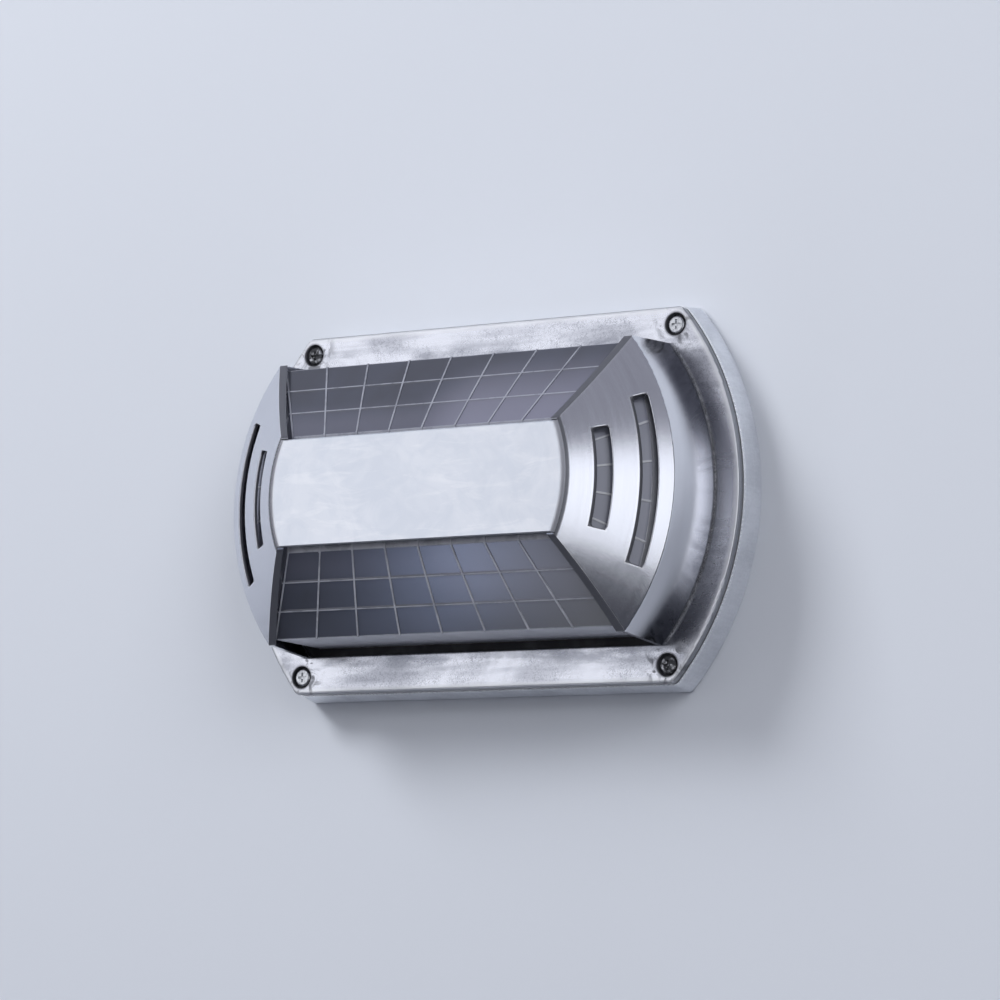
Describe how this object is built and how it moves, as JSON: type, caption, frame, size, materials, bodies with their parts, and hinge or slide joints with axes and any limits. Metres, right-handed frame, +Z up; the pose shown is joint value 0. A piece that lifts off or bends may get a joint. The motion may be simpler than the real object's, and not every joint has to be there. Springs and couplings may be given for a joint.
{
  "type": "outdoor wall light",
  "caption": "Cast bulkhead wall light: shallow back box, flanged cover with slotted end caps joined by a flat bar over a ribbed smoky glass lens, screw lamp inside.",
  "frame": {"origin": "centre of the back face, on the wall", "axes": "+X to the right along the long side, +Z up the wall, +Y into the wall, so the front faces -Y"},
  "size_m": [0.2612, 0.0765, 0.1702],
  "materials": {
    "cast_cover": "cast, brushed on the raised faces, dark in the pores",
    "cast_box": "cast, satin",
    "seal_rubber": "matt black",
    "lens_glass": "pressed, smoky grey, satin, with a fine raised grid",
    "plated_steel": "zinc plated",
    "screw_steel": "bright",
    "porcelain": "glazed white porcelain",
    "brass": "bright",
    "lamp_glass": "opal",
    "lamp_cap": "rolled",
    "insulator": "black vitrite",
    "block_plastic": "natural",
    "lead_brown": "insulation",
    "lead_blue": "insulation",
    "lead_green": "insulation"
  },
  "bodies": {
    "housing": {"back_box": "cast_box", "box_gasket": "seal_rubber", "cable_grommet": "seal_rubber", "holder_bracket": "plated_steel", "bracket_screws": "screw_steel", "holder_body": "porcelain", "holder_shell": "brass", "holder_contact": "brass", "holder_screws": "screw_steel", "terminal_block": "block_plastic", "terminal_tubes": "brass", "terminal_screws": "screw_steel", "block_screws": "screw_steel", "earth_tag": "brass", "earth_screw": "screw_steel", "live_lead": "lead_brown", "neutral_lead": "lead_blue", "earth_lead": "lead_green"},
    "cover": {"front_cover": "cast_cover", "glass_lens": "lens_glass", "glass_gasket": "seal_rubber", "glass_clips": "plated_steel", "clip_screws": "screw_steel"},
    "lamp": {"lamp_globe": "lamp_glass", "lamp_cap": "lamp_cap", "lamp_insulator": "insulator", "lamp_contact": "brass"},
    "screw_upper_left": {"cover_screw_upper_left": "screw_steel"},
    "screw_upper_right": {"cover_screw_upper_right": "screw_steel"},
    "screw_lower_left": {"cover_screw_lower_left": "screw_steel"},
    "screw_lower_right": {"cover_screw_lower_right": "screw_steel"}
  },
  "joints": [
    {"name": "cover_lift", "type": "slide", "parent": "housing", "child": "cover", "axis": [0, -1, 0], "range_m": [0, 0.12]},
    {"name": "lamp_turn", "type": "hinge", "parent": "housing", "child": "lamp", "pos_m": [0, -0.0356, 0], "axis": [1, 0, 0], "continuous": true},
    {"name": "screw_out_upper_left", "type": "slide", "parent": "cover", "child": "screw_upper_left", "axis": [0, -1, 0], "range_m": [0, 0.009]},
    {"name": "screw_out_upper_right", "type": "slide", "parent": "cover", "child": "screw_upper_right", "axis": [0, -1, 0], "range_m": [0, 0.009]},
    {"name": "screw_out_lower_left", "type": "slide", "parent": "cover", "child": "screw_lower_left", "axis": [0, -1, 0], "range_m": [0, 0.009]},
    {"name": "screw_out_lower_right", "type": "slide", "parent": "cover", "child": "screw_lower_right", "axis": [0, -1, 0], "range_m": [0, 0.009]}
  ]
}
